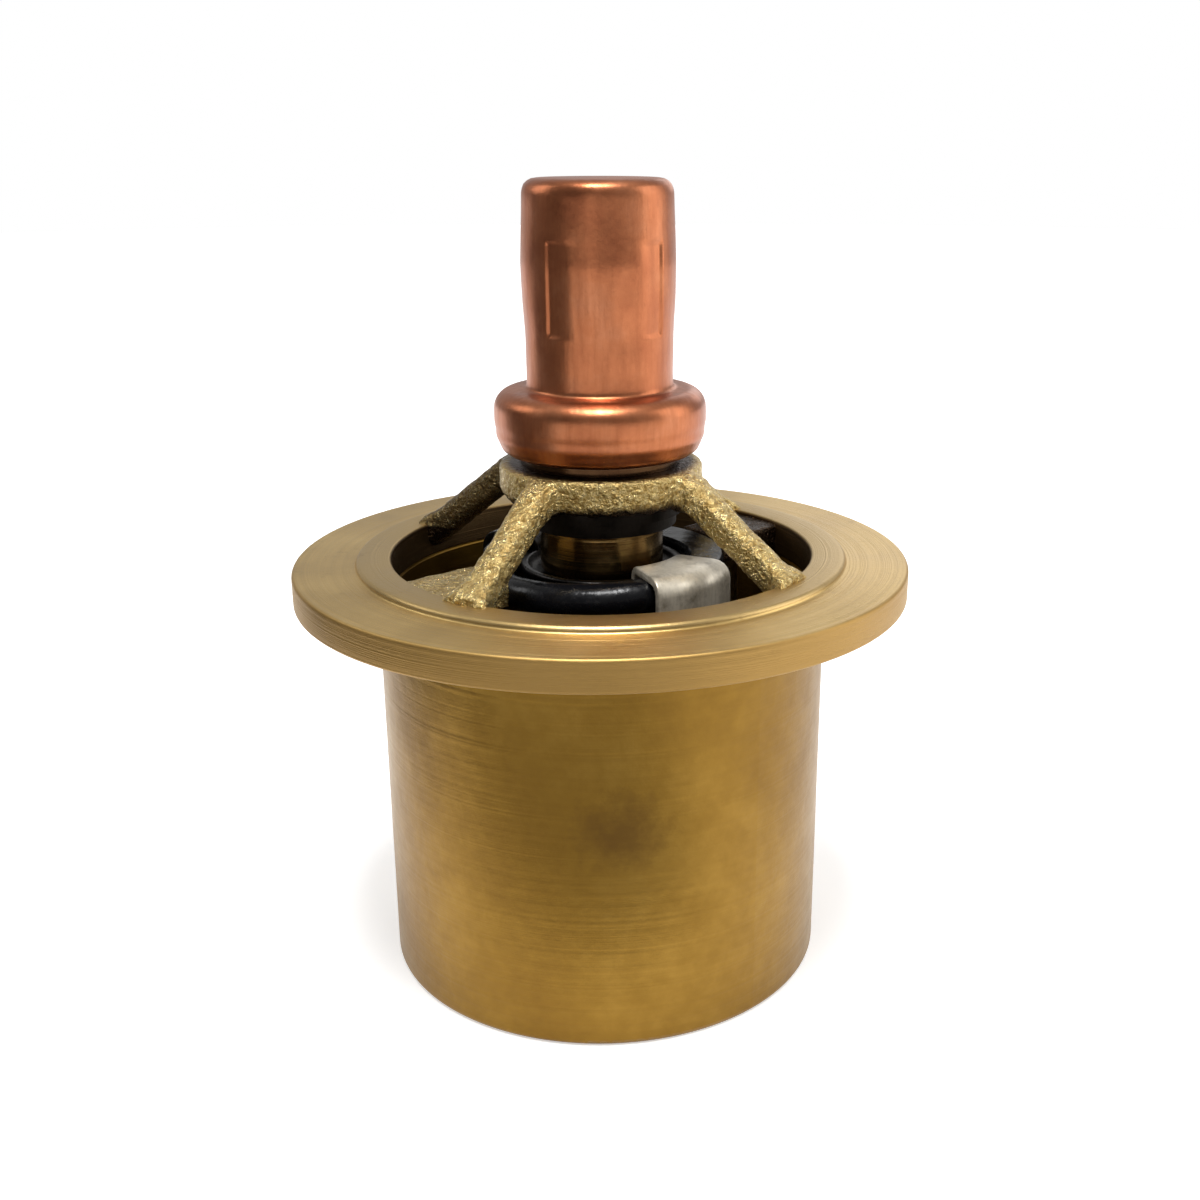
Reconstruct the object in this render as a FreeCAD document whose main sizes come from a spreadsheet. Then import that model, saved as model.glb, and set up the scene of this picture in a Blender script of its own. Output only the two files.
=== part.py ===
# Temperature control valve cartridge with a wax element, modelled in millimetres.
#
# Origin: centre of the sleeve's bottom edge, which the closed valve stands on. +Z runs up the axis to the
# sensing cup. Azimuths are counted from -Y, anticlockwise seen from above, so +X is at 90.
#
# A cast seat with four legs holds the wax element in its hub. The piston pushes a pressed bridge, and the
# bridge pulls the sleeve down from the flange against the return spring.

import FreeCAD, Part
import Sketcher

import math
import os

from FreeCAD import Placement, Rotation, Vector

os.makedirs("parts", exist_ok=True)
doc = FreeCAD.newDocument("temperature_control_valve")
sheet = doc.addObject("Spreadsheet::Sheet", "Sizes")


class Size:
    """A value together with the sheet expression that gives it."""

    def __init__(self, value, text):
        self.value = value
        self.text = text

    def __add__(self, other):
        return Size(self.value + plain(other), f"({self.text} + {written(other)})")

    def __sub__(self, other):
        return Size(self.value - plain(other), f"({self.text} - {written(other)})")

    def __mul__(self, other):
        return Size(self.value * plain(other), f"({self.text} * {written(other)})")

    def __truediv__(self, other):
        return Size(self.value / plain(other), f"({self.text} / {written(other)})")

    def __neg__(self):
        return Size(-self.value, f"(0 - {self.text})")

    def root(self):
        return Size(math.sqrt(self.value), f"sqrt({self.text})")


def plain(quantity):
    return quantity.value if isinstance(quantity, Size) else float(quantity)


def written(quantity):
    return quantity.text if isinstance(quantity, Size) else repr(float(quantity))


driving = []


def size(alias, value):
    """Writes one driving dimension into the sheet."""
    driving.append(alias)
    row = len(driving)
    sheet.set(f"A{row}", alias)
    sheet.set(f"B{row}", str(value))
    sheet.setAlias(f"B{row}", alias)
    return Size(float(value), f"Sizes.{alias}")


# Flange and raised ring of the cast seat
flange_diameter = size("flange_diameter", 76.0)
flange_thickness = size("flange_thickness", 3.9)
flange_edge = size("flange_edge", 0.35)
ring_width = size("ring_width", 4.25)
ring_height = size("ring_height", 0.8)
ring_edge = size("ring_edge", 0.3)
seat_recess = size("seat_recess", 0.4)

# Hub and legs
hub_wall = size("hub_wall", 4.75)
hub_height = size("hub_height", 4.3)
hub_rise = size("hub_rise", 12.0)
hub_edge = size("hub_edge", 0.7)
leg_count = size("leg_count", 4)
leg_width = size("leg_width", 3.5)
leg_depth = size("leg_depth", 3.4)
leg_round = size("leg_round", 1.5)
leg_root_width = size("leg_root_width", 4.8)
leg_root_bite = size("leg_root_bite", 2.6)
leg_root_margin = size("leg_root_margin", 0.3)
leg_shoulder = size("leg_shoulder", 0.6)
leg_drop = size("leg_drop", 0.6)
leg_flare = size("leg_flare", 0.4)
leg_foot_width = size("leg_foot_width", 6.0)
leg_foot_bite = size("leg_foot_bite", 1.3)
leg_foot_rise = size("leg_foot_rise", 0.4)
leg_azimuth = size("leg_azimuth", -32.5)

# Lands that carry the tie rods, and the rods
land_azimuth = size("land_azimuth", -48.0)
land_width = size("land_width", 12.0)
land_thickness = size("land_thickness", 3.9)
land_drop = size("land_drop", 0.5)
land_bite = size("land_bite", 1.0)
land_gap = size("land_gap", 0.9)
rod_diameter = size("rod_diameter", 5.0)
rod_thread = size("rod_thread", 4.0)
thread_depth = size("thread_depth", 3.0)
nut_width = size("nut_width", 7.0)
nut_height = size("nut_height", 3.2)
rod_tail = size("rod_tail", 0.9)

# Sliding sleeve
sleeve_diameter = size("sleeve_diameter", 55.8)
sleeve_length = size("sleeve_length", 49.2)
sleeve_wall = size("sleeve_wall", 1.9)
sleeve_edge = size("sleeve_edge", 0.8)
collar_step = size("collar_step", 0.4)
collar_height = size("collar_height", 2.5)
ledge_rise = size("ledge_rise", 2.0)
ledge_thickness = size("ledge_thickness", 3.0)

# Return spring and its lower seat
spring_wire = size("spring_wire", 4.4)
coil_gap = size("coil_gap", 0.75)
spring_length = size("spring_length", 36.2)
spring_turns = size("spring_turns", 4.0)
end_gap = size("end_gap", 0.1)
spring_tip_turn = size("spring_tip_turn", 226.0)
spring_rise = size("spring_rise", 0.2)
plate_thickness = size("plate_thickness", 2.6)
plate_hole = size("plate_hole", 17.0)
plate_lip = size("plate_lip", 2.0)
plate_margin = size("plate_margin", 0.5)
ear_width = size("ear_width", 8.2)

# Pressed bridge and its rivets
bridge_thickness = size("bridge_thickness", 1.0)
bridge_azimuth = size("bridge_azimuth", 42.0)
bridge_span = size("bridge_span", 48.0)
bridge_bend = size("bridge_bend", 2.2)
strap_bend = size("strap_bend", 1.2)
dish_gap = size("dish_gap", 1.55)
dish_lip = size("dish_lip", 1.5)
dish_bend = size("dish_bend", 0.6)
foot_gap = size("foot_gap", 1.6)
rivet_diameter = size("rivet_diameter", 3.0)
rivet_head = size("rivet_head", 5.4)
rivet_crown = size("rivet_crown", 1.1)

# Sensing cup
cup_diameter = size("cup_diameter", 18.0)
cup_height = size("cup_height", 24.3)
cup_wall = size("cup_wall", 0.8)
cup_corner = size("cup_corner", 1.5)
cup_barrel = size("cup_barrel", 0.2)
cup_waist = size("cup_waist", 0.3)
barrel_start = size("barrel_start", 5.0)
cup_root = size("cup_root", 0.5)
bulge_overhang = size("bulge_overhang", 3.85)
bulge_height = size("bulge_height", 7.8)
bulge_shoulder = size("bulge_shoulder", 2.2)
bulge_roll = size("bulge_roll", 2.6)
lip_inset = size("lip_inset", 1.95)
lip_reach = size("lip_reach", 0.83)
crease_depth = size("crease_depth", 0.12)
lip_gap = size("lip_gap", 1.2)
jaw_bottom = size("jaw_bottom", 7.0)
jaw_height = size("jaw_height", 10.4)
jaw_width = size("jaw_width", 12.9)
jaw_flatness = size("jaw_flatness", 0.3)

# Guide, piston and what lies between them
neck_diameter = size("neck_diameter", 15.3)
neck_end = size("neck_end", 1.6)
funnel = size("funnel", 1.6)
diaphragm_thickness = size("diaphragm_thickness", 0.9)
piston_diameter = size("piston_diameter", 6.0)
piston_length = size("piston_length", 13.0)
piston_tip = size("piston_tip", 0.5)
disc_thickness = size("disc_thickness", 1.0)
wiper_wall = size("wiper_wall", 1.75)
wiper_height = size("wiper_height", 2.4)
washer_step = size("washer_step", 2.65)
washer_thickness = size("washer_thickness", 1.5)
snap_step = size("snap_step", 1.65)
snap_thickness = size("snap_thickness", 1.7)
snap_groove = size("snap_groove", 0.5)
snap_sweep = size("snap_sweep", 320.0)

# Clearances and small chamfers
running_gap = size("running_gap", 0.05)
loose_gap = size("loose_gap", 0.15)
strap_gap = size("strap_gap", 1.0)
small_edge = size("small_edge", 0.4)

# Heights that follow from the sizes above
flange_bottom = sleeve_length - seat_recess
flange_top = flange_bottom + flange_thickness
ring_top = flange_top + ring_height
hub_top = flange_top + hub_rise
hub_bottom = hub_top - hub_height
land_bottom = ring_top - land_thickness
spring_top = flange_top + spring_rise
strap_top = spring_top + bridge_thickness
plate_top = spring_top - spring_length
plate_bottom = plate_top - plate_thickness
rod_bottom = plate_bottom - nut_height - rod_tail
ledge_top = ledge_rise + ledge_thickness
foot_top = ledge_top + bridge_thickness
neck_bottom = flange_top - neck_end
dish_floor = neck_bottom - piston_tip
dish_rim = dish_floor + dish_lip
lip_bottom = hub_top + lip_gap
packing_bottom = lip_bottom + cup_wall
bulge_top = lip_bottom + bulge_height
packing_top = bulge_top - cup_wall
guide_top = packing_top - diaphragm_thickness
cup_top = bulge_top + cup_height
piston_top = dish_floor + piston_length
plug_bottom = piston_top + disc_thickness
groove_top = hub_bottom - washer_thickness
groove_bottom = groove_top - snap_thickness

# Radii and places that follow
flange_radius = flange_diameter / 2
sleeve_radius = sleeve_diameter / 2
bore_radius = sleeve_radius - sleeve_wall
collar_radius = sleeve_radius + collar_step
recess_radius = collar_radius + loose_gap
window_radius = bore_radius + running_gap
ring_radius = window_radius + ring_width
neck_radius = neck_diameter / 2
hub_radius = neck_radius + hub_wall
washer_radius = neck_radius + washer_step
snap_radius = neck_radius + snap_step
thread_radius = rod_thread / 2
cup_radius = cup_diameter / 2
waist_radius = cup_radius - cup_waist
cup_bore = waist_radius - cup_wall
bulge_radius = cup_radius + bulge_overhang
lower_radius = bulge_radius - crease_depth
lip_edge = lower_radius - lip_inset
shoulder_radius = lip_edge - lip_reach - loose_gap
packing_radius = bulge_radius - cup_wall
piston_radius = piston_diameter / 2
guide_bore = piston_radius + running_gap
wiper_radius = guide_bore + wiper_wall
dish_radius = neck_radius + dish_gap
dish_outside = dish_radius + bridge_thickness
coil_inside = dish_outside + coil_gap
coil_middle = coil_inside + spring_wire / 2
coil_outside = coil_inside + spring_wire
strap_inside = coil_outside + strap_gap
strap_outside = strap_inside + bridge_thickness
foot_bend = bridge_bend - bridge_thickness
foot_reach = bore_radius - foot_gap
rivet_offset = (strap_outside + foot_bend + foot_reach) / 2
mouth_radius = rivet_offset - rivet_head / 2
rod_offset = (coil_outside + bore_radius) / 2
land_end = coil_outside + land_gap

doc.recompute()


class Arc:
    """The end of an arc in an outline, its radius and whether it turns left."""

    def __init__(self, end, radius, left=True):
        self.end = end
        self.radius = radius
        self.left = left


def arc_between(start, end, radius, left):
    """The shorter arc of a radius between two points, always stored anticlockwise."""
    chord = end - start
    reach = math.sqrt(max(radius * radius - chord.Length * chord.Length / 4, 0))
    side = Vector(-chord.y, chord.x, 0).normalize() * (reach if left else -reach)
    centre = (start + end) * 0.5 + side
    first, last = (start, end) if left else (end, start)
    angles = [math.atan2(point.y - centre.y, point.x - centre.x) for point in (first, last)]
    return Part.ArcOfCircle(Part.Circle(centre, Vector(0, 0, 1), radius), *angles)


def bind(sketch, kind, where, quantity):
    """Adds one dimension and ties it to the sheet."""
    index = sketch.addConstraint(Sketcher.Constraint(kind, *where, plain(quantity)))
    if isinstance(quantity, Size):
        sketch.setExpression(f"Constraints[{index}]", quantity.text)


def pin_down(sketch, point, x, y):
    """Fixes a point at its place, on an axis where its place is plain zero."""
    for kind, axis, quantity in (("DistanceX", -2, x), ("DistanceY", -1, y)):
        if isinstance(quantity, Size):
            bind(sketch, kind, (-1, 1, *point), quantity)
        else:
            sketch.addConstraint(Sketcher.Constraint("PointOnObject", *point, axis))


def outline(sketch, corners):
    """Draws one closed outline; each corner is the end of a line, or of an Arc."""
    first = sketch.GeometryCount
    ends = [corner.end if isinstance(corner, Arc) else corner for corner in corners]
    spots = [Vector(plain(x), plain(y), 0) for x, y in ends]
    marks = []
    for index, corner in enumerate(corners):
        if isinstance(corner, Arc):
            curve = arc_between(spots[index - 1], spots[index], plain(corner.radius), corner.left)
            marks.append((1, 2) if corner.left else (2, 1))
        else:
            curve = Part.LineSegment(spots[index - 1], spots[index])
            marks.append((1, 2))
        sketch.addGeometry(curve, False)
    for index, corner in enumerate(corners):
        here = (first + index, marks[index][1])
        following = (index + 1) % len(corners)
        there = (first + following, marks[following][0])
        sketch.addConstraint(Sketcher.Constraint("Coincident", *here, *there))
        pin_down(sketch, here, *ends[index])
        if isinstance(corner, Arc):
            bind(sketch, "Radius", (first + index,), corner.radius)


def circle(sketch, x, y, radius):
    index = sketch.addGeometry(Part.Circle(Vector(plain(x), plain(y), 0), Vector(0, 0, 1), plain(radius)), False)
    pin_down(sketch, (index, 3), x, y)
    bind(sketch, "Radius", (index,), radius)


def origin_part(body, role):
    return next(feature for feature in body.Origin.OriginFeatures if feature.Role == role)


def new_sketch(body, name, role, height=None):
    sketch = body.newObject("Sketcher::SketchObject", name)
    sketch.AttachmentSupport = (origin_part(body, role), [""])
    sketch.MapMode = "FlatFace"
    if height is not None:
        sketch.AttachmentOffset = Placement(Vector(0, 0, plain(height)), Rotation())
        sketch.setExpression("AttachmentOffset.Base.z", height.text)
    return sketch


def new_body(label):
    body = doc.addObject("PartDesign::Body", label)
    body.Label = label
    return body


def turn(body, name, corners, angle=None, both_ways=False):
    """Turns an outline of radius and height about the axis."""
    sketch = new_sketch(body, name + "_outline", "XZ_Plane")
    outline(sketch, corners)
    feature = body.newObject("PartDesign::Revolution", name)
    feature.Profile = sketch
    feature.ReferenceAxis = (sketch, ["V_Axis"])
    feature.Angle = 360
    feature.Midplane = both_ways
    if angle is not None:
        feature.setExpression("Angle", angle.text)
    return feature


def pad(body, name, sketch, length, both_ways=False):
    feature = body.newObject("PartDesign::Pad", name)
    feature.Profile = sketch
    feature.Length = plain(length)
    feature.setExpression("Length", length.text)
    feature.SideType = "Symmetric" if both_ways else "One side"
    return feature


def pocket(body, name, sketch, depth, upward=False):
    """Cuts down from the sketch, or up from it."""
    feature = body.newObject("PartDesign::Pocket", name)
    feature.Profile = sketch
    feature.Length = plain(depth)
    feature.setExpression("Length", depth.text)
    feature.Reversed = upward
    return feature


def repeat(body, name, features, count):
    """Repeats features evenly about the axis."""
    pattern = body.newObject("PartDesign::PolarPattern", name)
    pattern.Originals = features
    pattern.Axis = (origin_part(body, "Z_Axis"), [""])
    pattern.Angle = 360
    pattern.Occurrences = int(plain(count))
    if isinstance(count, Size):
        pattern.setExpression("Occurrences", count.text)
    body.Tip = pattern
    return pattern


def aim(part, azimuth):
    """Turns a part so that its own +X points along an azimuth."""
    angle = azimuth - 90
    part.Placement = Placement(Vector(), Rotation(Vector(0, 0, 1), plain(angle)))
    part.setExpression("Placement.Rotation.Angle", angle.text)


def carry(part, radius, azimuth):
    """Moves a part out along an azimuth."""
    part.setExpression("Placement.Base.x", f"{radius.text} * sin({azimuth.text} * 1 deg)")
    part.setExpression("Placement.Base.y", f"0 - {radius.text} * cos({azimuth.text} * 1 deg)")


def turned(label, corners):
    """A body that is one turned outline."""
    body = new_body(label)
    turn(body, label + "_turned", corners)
    return body


def group(label, members):
    """Several separate solids in one node."""
    compound = doc.addObject("Part::Compound", label)
    compound.Label = label
    compound.Links = members
    return compound


# The cast seat: a turned flange with a raised ring, the legs, the hub, and the lands for the tie rods
def leg_section(body, name, reach, centre, width, depth):
    """An upright section of a leg, with round corners."""
    sketch = new_sketch(body, name, "YZ_Plane", reach)
    side = width / 2
    low = centre - depth / 2
    high = centre + depth / 2
    outline(sketch, [
        (side, high - leg_round),
        Arc((side - leg_round, high), leg_round),
        (leg_round - side, high),
        Arc((-side, high - leg_round), leg_round),
        (-side, low + leg_round),
        Arc((leg_round - side, low), leg_round),
        (side - leg_round, low),
        Arc((side, low + leg_round), leg_round),
    ])
    return sketch


def make_seat_casting():
    body = new_body("seat_casting")
    turn(body, "flange", [
        (flange_radius - flange_edge, flange_bottom),
        (flange_radius, flange_bottom + flange_edge),
        (flange_radius, flange_top - flange_edge),
        (flange_radius - flange_edge, flange_top),
        (ring_radius, flange_top),
        (ring_radius, ring_top - ring_edge),
        (ring_radius - ring_edge, ring_top),
        (window_radius + ring_edge, ring_top),
        (window_radius, ring_top - ring_edge),
        (window_radius, sleeve_length),
        (recess_radius, sleeve_length),
        (recess_radius, flange_bottom),
    ])

    half = land_width / 2
    land_sketch = new_sketch(body, "land_outline", "XY_Plane", land_bottom)
    land_turn = land_azimuth - leg_azimuth
    land_sketch.AttachmentOffset = Placement(Vector(0, 0, plain(land_bottom)),
                                             Rotation(Vector(0, 0, 1), plain(land_turn)))
    land_sketch.setExpression("AttachmentOffset.Rotation.Angle", land_turn.text)
    land_side = (land_end * land_end - half * half).root()
    outline(land_sketch, [
        (window_radius + land_bite, -half),
        (window_radius + land_bite, half),
        (land_side, half),
        Arc((land_side, -half), land_end, left=False),
    ])
    land = pad(body, "land", land_sketch, land_thickness - land_drop)

    hole_sketch = new_sketch(body, "rod_hole_outline", "XY_Plane", land_bottom)
    hole_sketch.AttachmentOffset = land_sketch.AttachmentOffset
    hole_sketch.setExpression("AttachmentOffset.Rotation.Angle", land_turn.text)
    circle(hole_sketch, rod_offset, 0, thread_radius + running_gap)
    hole = pocket(body, "rod_hole", hole_sketch, thread_depth, upward=True)
    repeat(body, "lands", [land, hole], 2)

    # A leg leaves the hub level, falls to the ring and ends inside the flange.
    hub_end = hub_radius - leg_root_bite
    hub_exit = hub_radius + leg_shoulder
    foot = window_radius + leg_foot_bite
    middle = (hub_exit + foot) / 2
    hub_end_centre = hub_bottom + hub_height / 2
    hub_exit_centre = hub_top - leg_drop - leg_depth / 2
    foot_bottom = sleeve_length + running_gap
    foot_depth = ring_top + leg_foot_rise - foot_bottom
    foot_centre = foot_bottom + foot_depth / 2
    middle_centre = (hub_exit_centre + foot_centre) / 2
    root_depth = hub_height - leg_root_margin * 2
    sections = [
        leg_section(body, "leg_at_hub", hub_end, hub_end_centre, leg_root_width, root_depth),
        leg_section(body, "leg_leaving_hub", hub_exit, hub_exit_centre, leg_width + leg_flare, leg_depth),
        leg_section(body, "leg_middle", middle, middle_centre, leg_width, leg_depth),
        leg_section(body, "leg_foot", foot, foot_centre, leg_foot_width, foot_depth),
    ]
    leg = body.newObject("PartDesign::AdditiveLoft", "leg")
    leg.Profile = sections[0]
    leg.Sections = sections[1:]
    leg.Ruled = False
    repeat(body, "legs", [leg], leg_count)

    hub_bore = neck_radius + running_gap
    turn(body, "hub", [
        (hub_radius - hub_edge * 2, hub_bottom),
        Arc((hub_radius - hub_edge, hub_bottom + hub_edge), hub_edge),
        (hub_radius, hub_top - hub_edge / 2),
        (hub_radius - hub_edge / 2, hub_top),
        (hub_bore + ring_edge, hub_top),
        (hub_bore, hub_top - ring_edge),
        (hub_bore, hub_bottom),
    ])

    aim(body, leg_azimuth)
    return body


# The sliding sleeve: a thin turned skirt with a seating collar on top and a ledge above its bottom edge
def make_sliding_sleeve():
    body = new_body("sliding_sleeve")
    collar_bottom = flange_bottom - collar_height
    turn(body, "skirt", [
        (mouth_radius, ledge_rise),
        (bore_radius, ledge_rise),
        (bore_radius + small_edge, 0),
        (sleeve_radius - sleeve_edge, 0),
        Arc((sleeve_radius, sleeve_edge), sleeve_edge),
        (sleeve_radius, collar_bottom),
        (collar_radius, collar_bottom + collar_step),
        (collar_radius, sleeve_length),
        (bore_radius + small_edge, sleeve_length),
        (bore_radius, sleeve_length - small_edge),
        (bore_radius, ledge_top),
        (mouth_radius + small_edge, ledge_top),
        (mouth_radius, ledge_top - small_edge),
    ])
    sketch = new_sketch(body, "rivet_hole_outline", "XY_Plane", ledge_rise)
    circle(sketch, rivet_offset, 0, rivet_diameter / 2 + running_gap)
    hole = pocket(body, "rivet_hole", sketch, ledge_thickness, upward=True)
    repeat(body, "rivet_holes", [hole], 2)
    aim(body, bridge_azimuth)
    return body


# The bridge: a pressed dish under the guide's neck, with two curved straps over the spring and down to the ledge
def make_spring_bridge():
    body = new_body("spring_bridge")
    underside = dish_floor - bridge_thickness
    turn(body, "dish", [
        (dish_outside - bridge_bend, underside),
        Arc((dish_outside, underside + bridge_bend), bridge_bend),
        (dish_outside, dish_rim),
        (dish_radius, dish_rim),
        (dish_radius, dish_floor + foot_bend),
        Arc((dish_radius - foot_bend, dish_floor), foot_bend, left=False),
        (0, dish_floor),
        (0, underside),
    ])
    strap = turn(body, "strap", [
        (dish_outside, dish_floor + foot_bend),
        (dish_outside, spring_top - dish_bend),
        Arc((dish_outside + dish_bend, spring_top), dish_bend, left=False),
        (strap_inside - strap_bend, spring_top),
        Arc((strap_inside, spring_top - strap_bend), strap_bend, left=False),
        (strap_inside, ledge_top + bridge_bend),
        Arc((strap_inside + bridge_bend, ledge_top), bridge_bend),
        (foot_reach, ledge_top),
        (foot_reach, foot_top),
        (strap_outside + foot_bend, foot_top),
        Arc((strap_outside, foot_top + foot_bend), foot_bend, left=False),
        (strap_outside, spring_top - strap_bend),
        Arc((strap_inside - strap_bend, strap_top), strap_bend + bridge_thickness),
        (dish_outside + dish_bend, strap_top),
        Arc((dish_radius, spring_top - dish_bend), dish_bend + bridge_thickness),
        (dish_radius, dish_floor + foot_bend),
    ], bridge_span, both_ways=True)
    repeat(body, "straps", [strap], 2)

    hole_sketch = new_sketch(body, "foot_hole_outline", "XY_Plane", foot_top)
    circle(hole_sketch, rivet_offset, 0, rivet_diameter / 2 + running_gap)
    hole = pocket(body, "foot_hole", hole_sketch, bridge_thickness)
    repeat(body, "foot_holes", [hole], 2)
    aim(body, bridge_azimuth)
    return body


# Two rivets, flat below the ledge and domed above the foot
def make_bridge_rivets():
    shank = rivet_diameter / 2
    head = rivet_head / 2
    dome = (head * head + rivet_crown * rivet_crown) / (rivet_crown * 2)
    rivets = []
    for name, turn_round in (("rivet_front", 0), ("rivet_rear", 180)):
        rivet = turned(name, [
            (head, ledge_rise - rivet_crown),
            (head, ledge_rise),
            (shank, ledge_rise),
            (shank, foot_top),
            (head, foot_top),
            Arc((0, foot_top + rivet_crown), dome),
            (0, ledge_rise - rivet_crown),
        ])
        carry(rivet, rivet_offset, bridge_azimuth + turn_round)
        rivets.append(rivet)
    return group("bridge_rivets", rivets)


# The plate that hangs from the casting and carries the spring, with a lip inside the lowest coil
def make_lower_spring_seat():
    body = new_body("lower_spring_seat")
    plate_radius = strap_inside - plate_margin
    lip_radius = coil_inside - plate_margin
    turn(body, "plate", [
        (plate_radius - small_edge, plate_bottom),
        (plate_radius, plate_bottom + small_edge),
        (plate_radius, plate_top),
        (lip_radius, plate_top),
        (lip_radius, plate_top + plate_lip - small_edge),
        (lip_radius - small_edge, plate_top + plate_lip),
        (plate_hole / 2, plate_top + plate_lip),
        (plate_hole / 2, plate_bottom),
    ])
    half = ear_width / 2
    sketch = new_sketch(body, "ear_outline", "XY_Plane", plate_bottom)
    outline(sketch, [
        (plate_radius - half, -half),
        (rod_offset, -half),
        Arc((rod_offset + half, 0), half),
        Arc((rod_offset, half), half),
        (plate_radius - half, half),
    ])
    ear = pad(body, "ear", sketch, plate_thickness)
    hole_sketch = new_sketch(body, "ear_hole_outline", "XY_Plane", plate_top)
    circle(hole_sketch, rod_offset, 0, thread_radius + running_gap)
    hole = pocket(body, "ear_hole", hole_sketch, plate_thickness)
    repeat(body, "ears", [ear, hole], 2)
    aim(body, land_azimuth)
    return body


# The tie rods: shouldered on the plate, threaded into the lands
def make_tie_rod(label, azimuth):
    rod_radius = rod_diameter / 2
    rod_top = land_bottom + thread_depth - loose_gap
    rod = turned(label, [
        (thread_radius - small_edge, rod_bottom),
        (thread_radius, rod_bottom + small_edge),
        (thread_radius, plate_top),
        (rod_radius, plate_top),
        (rod_radius, land_bottom),
        (thread_radius, land_bottom),
        (thread_radius, rod_top - small_edge),
        (thread_radius - small_edge, rod_top),
        (0, rod_top),
        (0, rod_bottom),
    ])
    carry(rod, rod_offset, azimuth)
    return rod


# Two hexagon nuts below the plate
def make_tie_nuts():
    nuts = []
    for name, turn_round in (("nut_front", 0), ("nut_rear", 180)):
        hexagon = doc.addObject("Part::Prism", name + "_hexagon")
        hexagon.Polygon = 6
        hexagon.setExpression("Circumradius", f"{nut_width.text} / sqrt(3)")
        hexagon.setExpression("Height", nut_height.text)
        bore = doc.addObject("Part::Cylinder", name + "_bore")
        bore.setExpression("Radius", (thread_radius + running_gap).text)
        bore.setExpression("Height", nut_height.text)
        nut = doc.addObject("Part::Cut", name)
        nut.Base = hexagon
        nut.Tool = bore
        carry(nut, rod_offset, land_azimuth + turn_round)
        nut.setExpression("Placement.Base.z", (plate_bottom - nut_height).text)
        nuts.append(nut)
    return group("tie_nuts", nuts)


# The return spring: open coils between two closed ends, both ground flat to a thin tip
def coil(body, name, start, rise, turns):
    sketch = new_sketch(body, name + "_wire", "XZ_Plane")
    circle(sketch, coil_middle, start, spring_wire / 2)
    helix = body.newObject("PartDesign::AdditiveHelix", name)
    helix.Profile = sketch
    helix.ReferenceAxis = (sketch, ["V_Axis"])
    helix.Mode = "height-turns-angle"
    helix.Height = plain(rise)
    helix.Turns = plain(turns)
    helix.setExpression("Height", rise.text)
    if isinstance(turns, Size):
        helix.setExpression("Turns", turns.text)


def make_return_spring():
    body = new_body("return_spring")
    ground_off = spring_wire / 4
    end_rise = spring_wire + end_gap
    open_rise = spring_length + ground_off * 2 - end_rise * 2
    start = plate_top - ground_off
    coil(body, "closed_bottom", start, end_rise, 1)
    coil(body, "open_coils", start + end_rise, open_rise, spring_turns)
    coil(body, "closed_top", start + end_rise + open_rise, end_rise, 1)
    for name, height, upward in (("bottom_ground", plate_top, False), ("top_ground", spring_top, True)):
        ground_sketch = new_sketch(body, name + "_outline", "XY_Plane", height)
        circle(ground_sketch, 0, 0, coil_outside + spring_wire)
        pocket(body, name, ground_sketch, spring_wire, upward)
    aim(body, bridge_azimuth + spring_tip_turn)
    return body


# The sensing cup: a drawn cup whose wide mouth is rolled in under the guide's flange
def make_sensor_cup():
    body = new_body("sensor_cup")
    wall_end = bulge_top + barrel_start
    barrel_length = cup_top - cup_corner - wall_end
    half_chord = (barrel_length * barrel_length + cup_waist * cup_waist).root() / 2
    barrel_radius = (half_chord * half_chord + cup_barrel * cup_barrel) / (cup_barrel * 2)
    crease = (bulge_top + lip_bottom) / 2 + crease_depth
    inner_corner = cup_corner - cup_wall
    turn(body, "shell", [
        (cup_radius - cup_corner, cup_top),
        Arc((cup_radius, cup_top - cup_corner), cup_corner, left=False),
        Arc((waist_radius, wall_end), barrel_radius, left=False),
        (waist_radius, bulge_top + cup_root),
        Arc((waist_radius + cup_root, bulge_top), cup_root),
        (bulge_radius - bulge_shoulder, bulge_top),
        Arc((bulge_radius, bulge_top - bulge_shoulder), bulge_shoulder, left=False),
        (bulge_radius, crease),
        (lower_radius, crease - crease_depth),
        (lower_radius, lip_bottom + bulge_roll),
        Arc((lip_edge, lip_bottom), bulge_roll, left=False),
        (shoulder_radius + loose_gap, lip_bottom),
        (shoulder_radius + loose_gap, packing_bottom),
        (packing_radius, packing_bottom),
        (packing_radius, packing_top),
        (cup_bore, packing_top),
        (cup_bore, cup_top - cup_wall - inner_corner),
        Arc((cup_bore - inner_corner, cup_top - cup_wall), inner_corner),
        (0, cup_top - cup_wall),
        (0, cup_top),
    ])

    # Two jaws of a tighter curve than the cup bite deepest at their upright edges.
    half = jaw_width / 2
    jaw_front = cup_radius + cup_barrel
    jaw_radius = cup_radius - jaw_flatness
    jaw_side = (jaw_radius * jaw_radius - half * half).root() + jaw_front - jaw_radius
    sketch = new_sketch(body, "jaw_outline", "XY_Plane", bulge_top + jaw_bottom)
    outline(sketch, [
        (-half, -bulge_radius),
        (half, -bulge_radius),
        (half, -jaw_side),
        Arc((-half, -jaw_side), jaw_radius, left=False),
    ])
    jaw = pocket(body, "jaw", sketch, jaw_height, upward=True)
    repeat(body, "jaws", [jaw], 2)
    return body


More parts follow.
